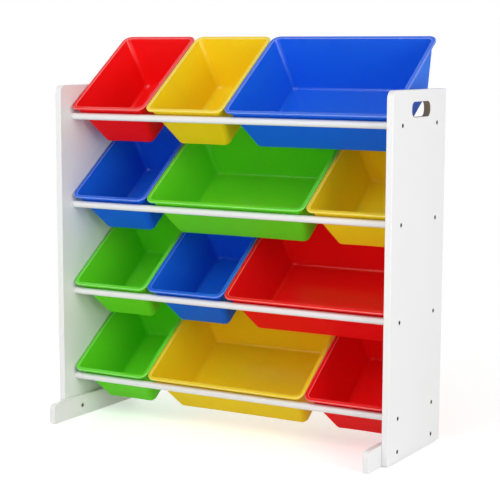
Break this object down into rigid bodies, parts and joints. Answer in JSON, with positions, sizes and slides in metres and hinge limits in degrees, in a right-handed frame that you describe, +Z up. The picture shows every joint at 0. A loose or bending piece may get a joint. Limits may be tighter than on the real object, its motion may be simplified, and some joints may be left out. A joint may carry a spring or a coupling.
{
  "type": "toy storage organizer with bins",
  "caption": "Children's toy storage organizer: tapered plastic bins lean back on rows of round rods between side panels with hand slots and foot boards.",
  "frame": {"origin": "on the floor under the middle of the overall footprint", "axes": "+X to the right seen from the front, +Y to the rear, +Z up"},
  "size_m": [0.86, 0.3578, 0.9027],
  "materials": {
    "white_board": "fibreboard painted white, satin",
    "white_rod": "round rod painted white, satin",
    "dark_steel": "dark oxide",
    "red_plastic": "moulded, glossy",
    "yellow_plastic": "moulded, glossy",
    "blue_plastic": "moulded, glossy",
    "green_plastic": "moulded, glossy"
  },
  "bodies": {
    "frame": {"left_side_panel": "white_board", "left_foot_board": "white_board", "left_rod_screws": "dark_steel", "left_foot_screws": "dark_steel", "left_foot_nuts": "dark_steel", "right_side_panel": "white_board", "right_foot_board": "white_board", "right_rod_screws": "dark_steel", "right_foot_screws": "dark_steel", "right_foot_nuts": "dark_steel", "front_rod_1": "white_rod", "rear_rod_1": "white_rod", "front_rod_2": "white_rod", "rear_rod_2": "white_rod", "front_rod_3": "white_rod", "rear_rod_3": "white_rod", "front_rod_4": "white_rod", "rear_rod_4": "white_rod"},
    "top_row_red_bin": {"top_row_red_bin": "red_plastic"},
    "top_row_yellow_bin": {"top_row_yellow_bin": "yellow_plastic"},
    "top_row_large_blue_bin": {"top_row_large_blue_bin": "blue_plastic"},
    "second_row_blue_bin": {"second_row_blue_bin": "blue_plastic"},
    "second_row_large_green_bin": {"second_row_large_green_bin": "green_plastic"},
    "second_row_yellow_bin": {"second_row_yellow_bin": "yellow_plastic"},
    "third_row_green_bin": {"third_row_green_bin": "green_plastic"},
    "third_row_blue_bin": {"third_row_blue_bin": "blue_plastic"},
    "third_row_large_red_bin": {"third_row_large_red_bin": "red_plastic"},
    "bottom_row_green_bin": {"bottom_row_green_bin": "green_plastic"},
    "bottom_row_large_yellow_bin": {"bottom_row_large_yellow_bin": "yellow_plastic"},
    "bottom_row_red_bin": {"bottom_row_red_bin": "red_plastic"}
  },
  "joints": [
    {"name": "top_row_red_bin_lift_out", "type": "slide", "parent": "frame", "child": "top_row_red_bin", "axis": [0, 0, 1], "range_m": [0, 0.25]},
    {"name": "top_row_yellow_bin_lift_out", "type": "slide", "parent": "frame", "child": "top_row_yellow_bin", "axis": [0, 0, 1], "range_m": [0, 0.25]},
    {"name": "top_row_large_blue_bin_lift_out", "type": "slide", "parent": "frame", "child": "top_row_large_blue_bin", "axis": [0, 0, 1], "range_m": [0, 0.25]},
    {"name": "second_row_blue_bin_tilt_level", "type": "hinge", "parent": "frame", "child": "second_row_blue_bin", "pos_m": [0, 0.10708, 0.5105], "axis": [-1, 0, 0], "range_deg": [0, 36]},
    {"name": "second_row_large_green_bin_tilt_level", "type": "hinge", "parent": "frame", "child": "second_row_large_green_bin", "pos_m": [0, 0.10708, 0.5105], "axis": [-1, 0, 0], "range_deg": [0, 36]},
    {"name": "second_row_yellow_bin_tilt_level", "type": "hinge", "parent": "frame", "child": "second_row_yellow_bin", "pos_m": [0, 0.10708, 0.5105], "axis": [-1, 0, 0], "range_deg": [0, 36]},
    {"name": "third_row_green_bin_tilt_level", "type": "hinge", "parent": "frame", "child": "third_row_green_bin", "pos_m": [0, 0.10708, 0.304], "axis": [-1, 0, 0], "range_deg": [0, 36]},
    {"name": "third_row_blue_bin_tilt_level", "type": "hinge", "parent": "frame", "child": "third_row_blue_bin", "pos_m": [0, 0.10708, 0.304], "axis": [-1, 0, 0], "range_deg": [0, 36]},
    {"name": "third_row_large_red_bin_tilt_level", "type": "hinge", "parent": "frame", "child": "third_row_large_red_bin", "pos_m": [0, 0.10708, 0.304], "axis": [-1, 0, 0], "range_deg": [0, 36]},
    {"name": "bottom_row_green_bin_tilt_level", "type": "hinge", "parent": "frame", "child": "bottom_row_green_bin", "pos_m": [0, 0.10708, 0.0975], "axis": [-1, 0, 0], "range_deg": [0, 36]},
    {"name": "bottom_row_large_yellow_bin_tilt_level", "type": "hinge", "parent": "frame", "child": "bottom_row_large_yellow_bin", "pos_m": [0, 0.10708, 0.0975], "axis": [-1, 0, 0], "range_deg": [0, 36]},
    {"name": "bottom_row_red_bin_tilt_level", "type": "hinge", "parent": "frame", "child": "bottom_row_red_bin", "pos_m": [0, 0.10708, 0.0975], "axis": [-1, 0, 0], "range_deg": [0, 36]}
  ]
}
